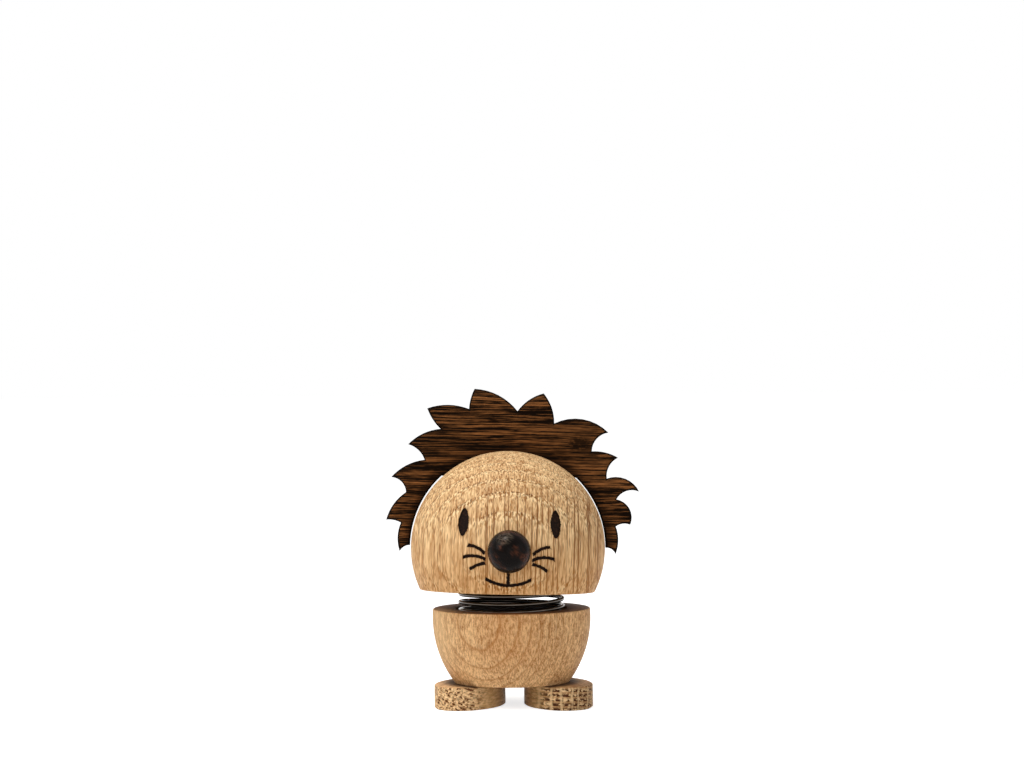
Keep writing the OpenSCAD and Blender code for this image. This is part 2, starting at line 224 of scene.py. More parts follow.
class Graph:
    """The shader tree of one material or of the world."""

    def __init__(self, owner: bpy.types.Material | bpy.types.World) -> None:
        """Empties the owner's shader tree.

        Args:
            owner: The material or world.
        """
        owner.use_nodes = True
        self.tree = owner.node_tree
        self.tree.nodes.clear()

    def node(
        self,
        kind: str,
        settings: Mapping[str, object] | None = None,
        inputs: Mapping[str, Value] | None = None,
        output: str = "",
    ) -> Wire:
        """Adds a node.

        Args:
            kind: The node's type.
            settings: The node's own properties, which are set first.
            inputs: Values or wires by the name or identifier of their socket.
            output: The name or identifier of the output to take, or nothing for the first one.

        Returns:
            The output's wire.
        """
        made = self.tree.nodes.new(kind)
        for name, setting in (settings or {}).items():
            setattr(made, name, setting)
        for name, value in (inputs or {}).items():
            socket = next(s for s in made.inputs if name in (s.identifier, s.name) and s.enabled)
            if isinstance(value, Wire):
                self.tree.links.new(value.socket, socket)
            else:
                socket.default_value = value
        outlets = (s for s in made.outputs if s.enabled and output in ("", s.identifier, s.name))
        return Wire(self, next(outlets, None))

    def math(self, operation: str, *values: Value) -> Wire:
        """Adds a Math node."""
        return self._numbered("ShaderNodeMath", "Value", operation, values)

    def vector(self, operation: str, *values: Value, output: str = "") -> Wire:
        """Adds a Vector Math node."""
        return self._numbered("ShaderNodeVectorMath", "Vector", operation, values, output)

    def _numbered(
        self, kind: str, stem: str, operation: str, values: Sequence[Value], output: str = ""
    ) -> Wire:
        """Adds a node whose sockets are numbered from their common name."""
        names = (stem, f"{stem}_001", f"{stem}_002")
        return self.node(kind, {"operation": operation}, dict(zip(names, values)), output)

    def space(self, x: Value, y: Value, z: Value) -> Wire:
        """Joins three values to a vector."""
        return self.node("ShaderNodeCombineXYZ", None, {"X": x, "Y": y, "Z": z})

    def blend(self, share: Value, first: Value, second: Value) -> Wire:
        """Mixes from the first colour to the second by a share of 0 to 1."""
        return self.node(
            "ShaderNodeMix",
            {"data_type": "RGBA"},
            {"Factor_Float": share, "A_Color": first, "B_Color": second},
            "Result_Color",
        )

    def noise(self, x: Value, y: Value, z: Value, detail: float = 2.0) -> Wire:
        """Reads smooth noise, with places given as shares of the spacing of its features."""
        inputs = {"Vector": self.space(x, y, z), "Scale": 1.0, "Detail": detail}
        return self.node("ShaderNodeTexNoise", None, inputs)

    def cells(self, x: Value, y: Value, z: Value) -> Wire:
        """Measures the distance to the nearest of scattered points, one in each unit cell."""
        inputs = {"Vector": self.space(x, y, z), "Scale": 1.0}
        return self.node("ShaderNodeTexVoronoi", None, inputs, "Distance")

    def lines(self, across: Value, stray: float) -> Wire:
        """Measures the distance to the nearest of scattered lines, one in each unit."""
        inputs = {"W": across, "Scale": 1.0, "Randomness": stray}
        return self.node("ShaderNodeTexVoronoi", {"voronoi_dimensions": "1D"}, inputs, "Distance")

    def place(self) -> Wire:
        """Reads the place on the piece at rest, in metres."""
        return self.node("ShaderNodeTexCoord", output="Object")

    def normal(self) -> Wire:
        """Reads the piece's own surface direction."""
        return self.node("ShaderNodeTexCoord", output="Normal")


@dataclass(frozen=True)
class Look:
    """What changes over a surface: its colour, its roughness and its relief from 0 to 1."""

    colour: Wire
    roughness: Wire
    relief: Wire


@dataclass(frozen=True)
class Axes:
    """A place and three directions in the frame."""

    origin: Vector
    x: Vector
    y: Vector
    z: Vector

    def lengths(self, graph: Graph) -> tuple[Wire, Wire, Wire]:
        """Measures the place on a surface along the three directions, in millimetres.

        Args:
            graph: The tree that the nodes go into.

        Returns:
            The three measures.
        """
        place = graph.vector("SUBTRACT", graph.place(), tuple(self.origin))
        x, y, z = (place.dot(tuple(axis / MM)) for axis in (self.x, self.y, self.z))
        return x, y, z


@dataclass(frozen=True)
class Finish:
    """A finish, which knows its name and how to turn a look into a material."""

    name: str
    relief_h: float = field(default=0.05, kw_only=True)
    specular: float = field(default=0.4, kw_only=True)

    def look(self, graph: Graph) -> Look:
        """Works out the look in a tree. Each finish has its own."""
        raise NotImplementedError

    def material(self) -> bpy.types.Material:
        """Makes the material.

        Returns:
            A material with the look on one principled shader.
        """
        made = bpy.data.materials.new(self.name)
        graph = Graph(made)
        look = self.look(graph)
        relief = {"Strength": 1.0, "Distance": self.relief_h * MM, "Height": look.relief}
        shader = graph.node(
            "ShaderNodeBsdfPrincipled",
            None,
            {
                "Base Color": look.colour,
                "Roughness": look.roughness,
                "Normal": graph.node("ShaderNodeBump", None, relief),
                "Specular IOR Level": self.specular,
                **self.constants(),
            },
        )
        graph.node("ShaderNodeOutputMaterial", None, {"Surface": shader})
        return made

    def constants(self) -> dict[str, Value]:
        """Gives further values that are the same all over the surface."""
        return {}


@dataclass(frozen=True)
class Oak(Finish):
    """Oiled oak, worked out in the solid: growth rings, vessels, rays and fibre.

    The axes of the wood are: x across the rays, y out through the rings, z along the fibre.
    A pair named "from" holds the values at which something starts and is in full.
    """

    wood: Axes
    # Rings: their width and first place, how far off the tree's heart is, and how they wander.
    ring: float
    first_ring: float
    bow: float = 120.0
    wander: float = 1.6
    # Early wood: its share of a ring, where end grain shows it, and its vessels.
    early: float = 0.7
    end_from: Point = (0.05, 0.5)
    vessel: Point = (0.55, 0.45)
    open_from: Point = (0.48, 0.58)
    # Rays: their spacing and width, the noise that breaks them, how they stray, and where they
    # fade on end grain and to one side.
    ray_gap: float = 1.9
    ray_w: float = 0.3
    ray_from: Point = (0.4, 0.54)
    ray_stray: float = 1.0
    ray_cut: Point = (2.0, 3.0)
    bold_from: Point = (-8.0, 8.0)
    # Fibre: its length, and its width across the rays and through the rings.
    dash: float = 7.0
    grain: Point = (0.4, 1.4)
    # Colours: of the fibre, the early wood, the late wood, the rays, the pores and end grain.
    pale: Colour = srgb(250, 208, 150)
    tan: Colour = srgb(166, 110, 58)
    open: Colour = srgb(252, 222, 170)
    closed: Colour = srgb(168, 116, 66)
    late: Colour = srgb(172, 118, 66)
    ray: Colour = srgb(128, 80, 40)
    pore: Colour = srgb(104, 60, 28)
    end: Colour = srgb(104, 66, 38)
    # How much of each shows, from 0 to 1.
    band_share: float = 0.8
    side_share: float = 0.12
    side_rays: float = 1.0
    pore_share: float = 0.85
    dash_share: float = 0.45
    ray_share: float = 0.7
    line_share: float = 0.2
    late_share: float = 0.15
    end_share: float = 0.0

    def look(self, graph: Graph) -> Look:
        """Works out the wood.

        Args:
            graph: The tree that the nodes go into.

        Returns:
            The look of the wood.
        """
        across, out, along = self.wood.lengths(graph)
        cut = abs(graph.normal().dot(tuple(self.wood.z)))
        drift = graph.noise(across / 13, out / 13, along / 45) - 0.5
        radius = graph.space(across, out + self.bow, 0.0).length()
        season = ((radius - self.bow + drift * self.wander - self.first_ring) / self.ring).fraction()
        ends = cut.rises(*self.end_from)
        springwood = season.rises(0.0, 0.06) * (ends * (1 - self.side_share) + self.side_share)
        row = springwood * season.falls(0.1, 0.3)
        band = springwood * season.falls(0.4 * self.early, 1.1 * self.early) * self.band_share
        line = abs(season - 0.5).rises(0.4, 0.5)

        grain, depth = self.grain
        fibre = graph.noise(across / grain, out / depth, along / self.dash, 1.0)
        fleck = graph.noise(across / (0.6 * grain), out / (0.5 * depth), along / (0.3 * self.dash), 1.0)
        streak = graph.noise(across / 1.3, out / 4, along / 36)
        cloud = graph.noise(across / 15, out / 15, along / 35)
        mottle = graph.noise(across / self.vessel[0], out / self.vessel[1], along / 3, 1.0)
        dots = graph.cells(across / 0.7, out / 0.7, along / 4).falls(0.3, 0.46) * row
        dashes = graph.cells(across / 0.55, out / 0.8, along / self.dash).falls(0.2, 0.36)
        sway = graph.noise(across / 9, out / 9, along / 16) + fibre * 0.12
        sway = sway + graph.noise(across / 3, out / 1.5, along / 14) * 0.5
        reach = self.ray_w / self.ray_gap
        rays = graph.lines((across + sway) / self.ray_gap, self.ray_stray).falls(0.2 * reach, 0.8 * reach)
        rays = rays * graph.noise(across / 1.4, out / 8, along / 15).rises(*self.ray_from)
        rays = rays * (across.falls(*self.bold_from) * 0.6 + 0.4)
        rays = rays * (ends * (1 - self.side_rays) + self.side_rays) * cut.falls(*self.ray_cut)

        tone = fibre.rises(0.36, 0.64) * 0.55 + fleck.rises(0.36, 0.64) * 0.36
        tone = tone + streak.rises(0.38, 0.64) * 0.17 + cloud.rises(0.4, 0.65) * 0.15
        colour = graph.blend((tone - 0.17).most(0.0).least(1.0), self.pale, self.tan)
        colour = graph.blend(season.rises(0.4, 1.0) * self.late_share, colour, self.late)
        colour = graph.blend(band * mottle.falls(0.38, 0.5), colour, self.closed)
        colour = graph.blend(band * mottle.rises(*self.open_from), colour, self.open)
        colour = graph.blend(line * self.line_share, colour, self.late)
        colour = graph.blend(dashes * self.dash_share, colour, self.pore)
        colour = graph.blend(dots * self.pore_share, colour, self.pore)
        colour = graph.blend(cut.rises(0.85, 0.97) * self.end_share, colour, self.end)
        colour = graph.blend(rays * self.ray_share, colour, self.ray)
        roughness = 0.5 + fibre * 0.12 + dots * 0.2
        relief = 0.6 + fibre * 0.25 - dots * 0.4 - dashes * 0.2 - rays * 0.15
        return Look(colour, roughness, relief)


@dataclass(frozen=True)
class Beech(Oak):
    """Plain pale wood of the dowels and the peg."""

    ring: float = 2.0
    first_ring: float = 0.0
    ray_share: float = 0.2


@dataclass(frozen=True)
class BurntFace:
    """The face that is burnt into the front of the head, drawn about the middle of the ball."""

    axes: Axes
    lean: float = 0.7
    eye_w: float = 2.7
    eye_h: float = 7.3
    eye_end_r: float = 0.55
    eye_at: Point = (12.1, 7.2)
    eye_lean: float = 4.0
    line_w: float = 0.8
    mouth_w: float = 12.0
    mouth_rise: float = 1.6
    mouth_z: float = 9.0
    lip_h: float = 3.2
    whisker_reach: float = 12.0
    whiskers: tuple[tuple[Point, Point, float], ...] = (
        ((0.9, 0.105), (0.525, -0.065), 0.04),
        ((1.0, -0.16), (0.51, -0.19), 0.05),
        ((0.845, -0.425), (0.515, -0.275), 0.025),
    )
    char: Colour = srgb(22, 11, 6)
    ember: Colour = srgb(46, 27, 16)
    scorch: Colour = srgb(140, 88, 46)
    scorch_share: float = 0.35
    ragged: float = 0.6

    def stroke(self, x: Wire, z: Wire, start: Point, end: Point, rise: float) -> Wire:
        """Measures the distance from a line along an arc.

        Args:
            x: Place across the face.
            z: Place up the face.
            start: One end of the line.
            end: The other end.
            rise: Rise of the arc to the left of the line's direction.

        Returns:
            The distance in millimetres, below zero inside the line.
        """
        p, q = Vector(start), Vector(end)
        middle, half = (p + q) / 2, (q - p).length / 2
        along = (q - p).normalized()
        up = Vector((-along.y, along.x)) * math.copysign(1, rise)
        radius = (half * half + rise * rise) / (2 * abs(rise))
        centre = middle + up * (abs(rise) - radius)
        from_x, from_z = x - centre.x, z - centre.y
        aside = abs(x.graph.space(from_x, from_z, 0.0).length() - radius) - self.line_w / 2
        past = abs((x - middle.x) * along.x + (z - middle.y) * along.y) - half
        behind = from_x * -up.x - from_z * up.y
        return aside.most(past).most(behind)

    def eye(self, x: Wire, z: Wire) -> Wire:
        """Measures the distance from the oval of an eye, which has two round ends and two flat flanks.

        Args:
            x: Place aside of the middle of the face.
            z: Place up the face.

        Returns:
            The distance in millimetres, below zero inside the eye.
        """
        turn = Matrix.Rotation(math.radians(-self.eye_lean), 2)
        aside = abs((x - self.eye_at[0]) * turn[0][0] + (z - self.eye_at[1]) * turn[0][1])
        up = abs((x - self.eye_at[0]) * turn[1][0] + (z - self.eye_at[1]) * turn[1][1])
        end_y = self.eye_h / 2 - self.eye_end_r
        flank_in = self.eye_w / 2 - self.eye_end_r
        flank_x = (end_y**2 - flank_in**2) / (2 * flank_in)
        flank_r = self.eye_w / 2 + flank_x
        join_y = end_y * flank_r / (flank_r - self.eye_end_r)
        flank = (x.graph.space(aside + flank_x, up, 0.0).length() - flank_r).most(up - join_y)
        end = x.graph.space(aside, up - end_y, 0.0).length() - self.eye_end_r
        return flank.least(end)

    def over(self, graph: Graph, look: Look) -> Look:
        """Burns the face into a look.

        Args:
            graph: The tree that the nodes go into.
            look: The look of the bare wood.

        Returns:
            The look with the face in it.
        """
        lean = Matrix.Rotation(math.radians(self.lean), 3, self.axes.y)
        leaning = Axes(self.axes.origin, lean @ self.axes.x, self.axes.y, lean @ self.axes.z)
        across, depth, z = leaning.lengths(graph)
        x = abs(across)
        corner = (self.mouth_w / 2, self.mouth_rise - self.mouth_z)
        lip = (x - self.line_w / 2).most(abs(z + (self.mouth_z - self.lip_h / 2)) - self.lip_h / 2)
        away = self.eye(x, z).least(lip)
        away = away.least(self.stroke(x, z, (-corner[0], corner[1]), corner, -self.mouth_rise))
        reach = self.whisker_reach
        for outer, inner, rise in self.whiskers:
            ends = tuple((point[0] * reach, point[1] * reach) for point in (outer, inner))
            away = away.least(self.stroke(x, z, *ends, -rise * reach))
        grit = graph.noise(across / 0.6, depth / 0.6, z / 0.6)
        away = away + (grit - 0.5) * self.ragged
        front = depth.falls(-4.0, -1.0)
        burnt = away.falls(-0.05, 0.1) * front
        halo = away.falls(-0.1, 0.5) * front
        colour = graph.blend(halo * self.scorch_share, look.colour, self.scorch)
        colour = graph.blend(burnt, colour, graph.blend(grit.rises(0.45, 0.75), self.char, self.ember))
        return Look(colour, look.roughness + burnt * 0.25, look.relief - burnt * (0.25 - grit * 0.5))


@dataclass(frozen=True)
class FaceOak(Oak):
    """The head's oak, with the face burnt into it."""

    face: BurntFace = field(kw_only=True)
    honey: Colour = field(default=srgb(204, 132, 58), kw_only=True)
    honey_heights: Point = field(default=(-11.0, 8.0), kw_only=True)
    honey_share: float = field(default=0.32, kw_only=True)

    def look(self, graph: Graph) -> Look:
        """Works out the wood, warmer towards the chin, and burns the face into it.

        Args:
            graph: The tree that the nodes go into.

        Returns:
            The look of the wood.
        """
        wood = super().look(graph)
        low = self.face.axes.lengths(graph)[2].falls(*self.honey_heights)
        colour = graph.blend(low * self.honey_share, wood.colour, self.honey)
        return self.face.over(graph, Look(colour, wood.roughness, wood.relief))


@dataclass(frozen=True)
class Mark:
    """A mark round an upright axis, such as painted shade in a seat or along a joint, painted light, or a
    patch of warmer tone.
    """

    axes: Axes
    reach: Point
    heights: Point
    share: float
    colour: Colour

    def over(self, graph: Graph, look: Look) -> Look:
        """Blends the mark's colour into a look within its reach and above its heights.

        Args:
            graph: The tree that the nodes go into.
            look: The look without the mark.

        Returns:
            The look with the mark in it.
        """
        x, y, z = self.axes.lengths(graph)
        marked = graph.space(x, y, 0.0).length().falls(*self.reach) * z.rises(*self.heights)
        colour = graph.blend(marked * self.share, look.colour, self.colour)
        return Look(colour, look.roughness + marked * 0.1, look.relief)


@dataclass(frozen=True)
class MarkedOak(Oak):
    """Oak with marks, such as painted shade where another piece sits on it."""

    marks: tuple[Mark, ...] = field(kw_only=True)

    def look(self, graph: Graph) -> Look:
        """Works out the wood and lays the marks over it.

        Args:
            graph: The tree that the nodes go into.

        Returns:
            The look of the wood.
        """
        look = super().look(graph)
        for mark in self.marks:
            look = mark.over(graph, look)
        return look


@dataclass(frozen=True)
class StreakedWood(Finish):
    """Dark streaked wood of the mane plate, with fibre along X and walls charred by the cut.

    It has a knot at one shoulder, and it is darker at both shoulders, with painted shade beside the ball.
    """

    axes: Axes
    ball_r: float = 26.2
    knot_at: Point = (19.0, 28.4)
    knot_reach: Point = (4.6, 2.8)
    shoulder_reach: Point = (14.0, 8.5)
    dark: Colour = srgb(18, 9, 4)
    brown: Colour = srgb(168, 108, 60)
    vein: Colour = srgb(8, 4, 2)
    char: Colour = srgb(12, 7, 5)
    vein_share: float = 0.85
    shoulder_share: float = 0.36
    # Share of the painted shade beside the ball.
    beside_share: float = 0.75
    wall_share: float = 0.92

    def from_knot(self, x: Wire, z: Wire, reach: Point) -> Wire:
        """Measures how far a place lies from the knot.

        Args:
            x: Place across the plate.
            z: Place up the plate.
            reach: Half the width and half the height of what lies about the knot.

        Returns:
            The distance as a share of the reach.
        """
        aside = (x - self.knot_at[0]) / reach[0]
        above = (z - self.knot_at[1]) / reach[1]
        return x.graph.space(aside, above, 0.0).length()

    def look(self, graph: Graph) -> Look:
        """Works out the streaks.

        Args:
            graph: The tree that the nodes go into.

        Returns:
            The look of the plate.
        """
        x, y, z = self.axes.lengths(graph)
        knot = self.from_knot(x, z, self.knot_reach).falls(0.4, 1.0)
        level = z + (graph.noise(x / 40, y / 6, z / 14) - 0.5) * 1.8 + knot * 0.2
        band = graph.noise(x / 50, y / 2.5, level / 1.5)
        line = graph.noise(x / 14, y / 1.0, level / 0.34)
        fleck = graph.noise(x / 2.4, y / 0.4, z / 0.3)
        vein = graph.cells(x / 26, y / 2.0, level / 1.7).falls(0.06, 0.15)
        seam = abs(graph.noise(x / 60, y / 4, level / 2.2) - 0.5).falls(0.004, 0.022)
        veins = vein.most(seam * graph.noise(x / 12, y / 3, level / 3).rises(0.4, 0.6))
        tone = band.rises(0.34, 0.64) * 0.4 + line.rises(0.36, 0.64) * 0.6 + (fleck - 0.5) * 0.8
        smudge = knot * graph.noise(x / 1.4, y / 1.5, z / 0.7).rises(0.3, 0.5)
        colour = graph.blend((tone - 0.34).most(0.0).least(1.0), self.dark, self.brown)
        colour = graph.blend(veins.most(smudge) * self.vein_share, colour, self.vein)
        shoulder = self.from_knot(abs(x), z, self.shoulder_reach).falls(0.2, 1.0)
        colour = graph.blend(shoulder * self.shoulder_share, colour, self.dark)
        # Painted shade of the ball on the plate beside it, in the char colour.
        beside = graph.space(x, z, 0.0).length().falls(self.ball_r + 0.3, self.ball_r + 3.2)
        colour = graph.blend(beside * self.beside_share, colour, self.char)
        wall = abs(graph.normal().dot(tuple(self.axes.y))).falls(0.85, 0.99)
        colour = graph.blend(wall * self.wall_share, colour, self.char)
        roughness = 0.55 + fleck * 0.2 + veins * 0.15
        relief = 0.5 + fleck * 0.2 + line * 0.15 - veins * 0.4
        return Look(colour, roughness, relief)


@dataclass(frozen=True)
class StainedWood(Finish):
    """The nose's dark stained wood, brown where the stain has taken less, with a painted highlight near
    its top.
    """

    axes: Axes
    gleam_normal: Vector
    dark: Colour = srgb(10, 5, 3)
    brown: Colour = srgb(88, 48, 30)
    vein: Colour = srgb(8, 4, 2)
    # Colour and share of the painted highlight.
    painted_gleam: Colour = srgb(112, 98, 82)
    painted_gleam_share: float = 0.6
    vein_share: float = 0.6

    def look(self, graph: Graph) -> Look:
        """Works out the stain.

        Args:
            graph: The tree that the nodes go into.

        Returns:
            The look of the nose.
        """
        x, y, z = self.axes.lengths(graph)
        patch = graph.noise(x / 4.5, y / 4.5, z / 2.6, 3.0)
        fibre = graph.noise(x / 2.4, y / 0.45, z / 0.4, 3.0)
        veins = graph.cells(x / 5, y / 0.8, z / 0.8).falls(0.14, 0.32)
        share = patch.rises(0.44, 0.7) * (0.2 + fibre.rises(0.36, 0.66) * 0.7)
        colour = graph.blend(share, self.dark, self.brown)
        # Painted highlight: paler where the surface faces the gleam's direction, broken by the fibre.
        worn = graph.normal().dot(tuple(self.gleam_normal)).rises(0.88, 1.0) * fibre.rises(0.3, 0.7)
        colour = graph.blend(worn * self.painted_gleam_share, colour, self.painted_gleam)
        colour = graph.blend(veins * self.vein_share, colour, self.vein)
        roughness = 0.2 + fibre * 0.14
        relief = 0.5 + fibre * 0.3 - veins * 0.4
        return Look(colour, roughness, relief)


@dataclass(frozen=True)
class BlackSteel(Finish):
    """Spring steel, blackened and oiled, with faint marks of drawing."""

    black: Colour = srgb(7, 6, 5)
    worn: Colour = srgb(32, 26, 22)
    tint: Colour = (1.0, 0.86, 0.73, 1.0)
    ior: float = 1.9

    def look(self, graph: Graph) -> Look:
        """Works out the marks of drawing and handling.

        Args:
            graph: The tree that the nodes go into.

        Returns:
            The look of the wire.
        """
        place = graph.node(
            "ShaderNodeVectorMath", {"operation": "SCALE"}, {"Vector": graph.place(), "Scale": 1 / MM}
        )
        marks = graph.node("ShaderNodeTexNoise", None, {"Vector": place, "Scale": 1.4, "Detail": 3.0})
        colour = graph.blend(marks.rises(0.5, 0.75), self.black, self.worn)
        return Look(colour, 0.05 + marks * 0.1, marks)

    def constants(self) -> dict[str, Value]:
        """Gives the strong warm gleam of blackened steel."""
        return {"IOR": self.ior, "Specular Tint": self.tint}


@dataclass(frozen=True)
class HeadPose:
    """Where the head has settled on its spring: its gap over the body, its shift aside and its leans.

    The drop is from the middle of the ball to its flat underside.
    """

    gap: float = 4.6
    shift: float = -1.1
    back: float = 1.9
    roll: float = 1.35
    turn: float = 0.7
    drop: float = 11.5

    @cached_property
    def rotation(self) -> Matrix:
        """Turns the head's own directions into the frame's."""
        return (
            Matrix.Rotation(math.radians(self.turn), 3, "Z")
            @ Matrix.Rotation(math.radians(self.roll), 3, "Y")
            @ Matrix.Rotation(math.radians(-self.back), 3, "X")
        )

    @cached_property
    def underside(self) -> Vector:
        """Gives the middle of the head's flat underside, in metres."""
        return SPRING_AXIS + Vector((self.shift * MM, 0, BODY_TOP + self.gap * MM))

    def ball_axes(self) -> Axes:
        """Gives the middle of the ball and the head's own directions."""
        origin = self.underside + self.rotation @ Vector((0, 0, self.drop * MM))
        return Axes(origin, *(self.rotation.col[i].copy() for i in range(3)))


def mesh_object(
    name: str, vertices: Sequence[Vector], faces: Sequence[Sequence[int]]
) -> bpy.types.Object:
    """Makes a smooth mesh object in the frame.

    Args:
        name: The piece's name.
        vertices: Its corners, in metres.
        faces: The corners of each face.

    Returns:
        The new object.
    """
    mesh = bpy.data.meshes.new(name)
    mesh.from_pydata([tuple(v) for v in vertices], [], [tuple(f) for f in faces])
    mesh.shade_smooth()
    made = bpy.data.objects.new(name, mesh)
    bpy.context.scene.collection.objects.link(made)
    return made


def eased_copy(node: str, name: str, flat: Vector, slope: Point) -> bpy.types.Object:
    """Copies a flat plate of the frame, with a narrow slope along the rims of its two faces.

    Args:
        node: The frame's node.
        name: The new piece's name.
        flat: The direction that the two faces look along.
        slope: Width and drop of the slope, in millimetres.

    Returns:
        The new object, which stands for the node.
    """
    width, drop = slope
    weld, even, sharp = 0.002 * MM, math.radians(0.2), math.radians(65)
    facing, aside = 0.999, 0.5
    shape = bmesh.new()
    shape.from_mesh(frame["nodes"][node].data)
    bmesh.ops.remove_doubles(shape, verts=shape.verts, dist=weld)
    bmesh.ops.dissolve_limit(shape, angle_limit=even, verts=shape.verts, edges=shape.edges)
    faces = [face for face in shape.faces if abs(face.normal.dot(flat)) > facing]
    slopes = bmesh.ops.inset_region(
        shape, faces=faces, thickness=width * MM, use_even_offset=True
    )["faces"]
    sides = {
        corner: math.copysign(drop * MM, face.normal.dot(flat))
        for face in slopes
        for edge in face.edges
        if any(abs(other.normal.dot(flat)) < aside for other in edge.link_faces)
        for corner in edge.verts
    }
    for corner, lowered in sides.items():
        corner.co -= flat * lowered
    bmesh.ops.triangulate(shape, faces=[f for f in shape.faces if len(f.verts) > 4])
    mesh = bpy.data.meshes.new(name)
    shape.to_mesh(mesh)
    shape.free()
    mesh.shade_smooth()
    mesh.set_sharp_from_angle(angle=sharp)
    made = bpy.data.objects.new(name, mesh)
    bpy.context.scene.collection.objects.link(made)
    made.modifiers.new("even_faces", "WEIGHTED_NORMAL").keep_sharp = True
    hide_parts(node)
    return made


def dress(piece: bpy.types.Object, finish: Finish) -> None:
    """Gives a piece its finish and logs the finish's name.

    Args:
        piece: The piece or node.
        finish: Its finish.
    """
    piece.data.materials.clear()
    piece.data.materials.append(finish.material())
    LOG.info("%s has the finish %s", piece.name, finish.name)


@dataclass
class Base:
    """The turned body, its two feet and the dowels that join them."""

    foot_splay: float = 17.0
    foot_turn: float = -2.5
    foot_edge: Point = (0.35, 0.25)
    ring_turn: float = 25.0
    left_tilt: float = 24.0
    right_tilt: float = 3.0
    # Places of soft patches: a warmer one on the body's front, a paler one on its left that is partly the
    # wood's tone and partly painted light, painted light on the feet between them, and a darker one at
    # the right toe.
    warm_patch_at: Point = (0.0, -24.0)
    pale_left_at: Point = (-25.0, -10.0)
    painted_light_between_at: Point = (0.0, -12.0)
    toe_at: Point = (26.0, -14.0)

    def build(self) -> None:
        """Builds and dresses the pieces that stand still."""
        self.dress_body()
        for side in Side:
            self.build_foot(side)
            self.dress_dowels(side)

    def upright(self, at: Point = (0.0, 0.0), height: float = 0.0) -> Axes:
        """Gives an upright axis at a place beside the spring's axis and a height, in millimetres."""
        return Axes(SPRING_AXIS + Vector((*at, height)) * MM, RIGHT, BACK, UP)

    def dress_body(self) -> None:
        """Gives the body oak whose rings lie nearly along its front."""
        low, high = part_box("body")
        turn = math.radians(self.ring_turn)
        out = Vector((-math.sin(turn), -math.cos(turn), 0))
        wood = Axes((low + high) / 2, UP.cross(out), out, UP)
        seat = self.upright(height=BODY_TOP / MM)
        # Painted shade, laid into the spring's groove and onto the body's top under the head.
        painted_shade = srgb(24, 14, 9)
        oak = MarkedOak(
            "body_oak",
            wood,
            ring=1.8,
            first_ring=0.67,
            bow=200.0,
            wander=0.9,
            grain=(0.37, 0.6),
            dash=1.5,
            pale=srgb(245, 200, 144),
            tan=srgb(160, 107, 60),
            open=srgb(246, 205, 152),
            late=srgb(168, 108, 54),
            early=0.4,
            band_share=0.4,
            side_share=1.0,
            pore_share=0.25,
            dash_share=0.16,
            ray_share=0.15,
            line_share=0.55,
            # End grain is darker, as oiled end grain is, and darker still as painted shade on the top
            # under the head.
            end_share=0.8,
            end=srgb(84, 52, 30),
            specular=0.1,
            marks=(
                # Painted shade in the spring's groove.
                Mark(seat, (14.9, 15.4), (-6.6, -6.3), 0.85, painted_shade),
                # Painted shade on the body's top, under the head.
                Mark(seat, (14.9, 20.6), (-0.2, -0.1), 0.5, painted_shade),
                # A warmer patch on the body's front.
                Mark(self.upright(self.warm_patch_at), (3.0, 15.0), (9.0, 16.0), 0.22, srgb(184, 106, 36)),
                # A paler patch on the body's left, partly the wood's tone and partly painted light from
                # the left.
                Mark(self.upright(self.pale_left_at), (4.0, 15.0), (8.0, 14.0), 0.3, srgb(255, 220, 166)),
            ),
        )
        dress(frame["nodes"]["body"], oak)

    def build_foot(self, side: Side) -> None:
        """Builds a foot with eased edges from oak whose end grain shows at the toe.

        The right foot is of another plank, with wider rings and a darker end.

        Args:
            side: The side that the foot is on.
        """
        node = f"{side.name.lower()}_foot"
        foot = eased_copy(node, f"{node}_eased", UP, self.foot_edge)
        low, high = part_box(node)
        turn = math.radians(self.foot_turn + side.value * self.foot_splay)
        along = Vector((-math.sin(turn), math.cos(turn), 0))
        tilt = math.radians(self.left_tilt if side is Side.LEFT else self.right_tilt)
        across = Vector((math.cos(turn), math.sin(turn), 0))
        out = across * math.sin(tilt) + UP * math.cos(tilt)
        wood = Axes((low + high) / 2, along.cross(out), out, along)
        joint = self.upright(height=high.z / MM)
        oak = MarkedOak(
            f"{node}_oak",
            wood,
            ring=0.85,
            first_ring=0.2 + 0.5 * side.value,
            bow=60.0,
            wander=1.2,
            early=1.0,
            end_from=(0.1, 0.75),
            vessel=(0.7, 0.65),
            open_from=(0.45, 0.58),
            ray_gap=2.2,
            ray_w=0.5,
            ray_from=(0.3, 0.5),
            ray_stray=0.6,
            bold_from=(90.0, 100.0),
            dash=4.0,
            pale=srgb(246, 206, 154),
            tan=srgb(192, 144, 95),
            open=srgb(92, 52, 24),
            closed=srgb(246, 210, 158),
            ray=srgb(242, 206, 154),
            pore=srgb(86, 46, 19),
            band_share=1.0,
            side_share=0.1,
            side_rays=0.1,
            dash_share=0.25,
            ray_share=0.5,
            line_share=0.5,
            specular=0.1,
            marks=(
                # Painted shade on the foot's top, where the body overhangs it.
                Mark(joint, (16.4, 20.4), (-0.3, -0.1), 0.85, srgb(34, 20, 11)),
                # Painted light: paler inner sides of the feet, between them.
                Mark(self.upright(self.painted_light_between_at), (4.0, 10.5), (-1.0, 0.0), 0.5, srgb(250, 198, 126)),
                Mark(self.upright(self.toe_at), (4.0, 16.0), (-1.0, 0.0), 0.35, srgb(84, 48, 22)),
            ),
        )
        if side is Side.RIGHT:
            oak = replace(
                oak,
                ring=1.25,
                early=0.95,
                end_from=(0.0, 0.5),
                vessel=(0.8, 0.65),
                open_from=(0.4, 0.52),
                pale=srgb(236, 192, 140),
                open=srgb(70, 36, 15),
                ray_share=0.75,
            )
        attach(foot, Body.BASE.value)
        dress(foot, oak)

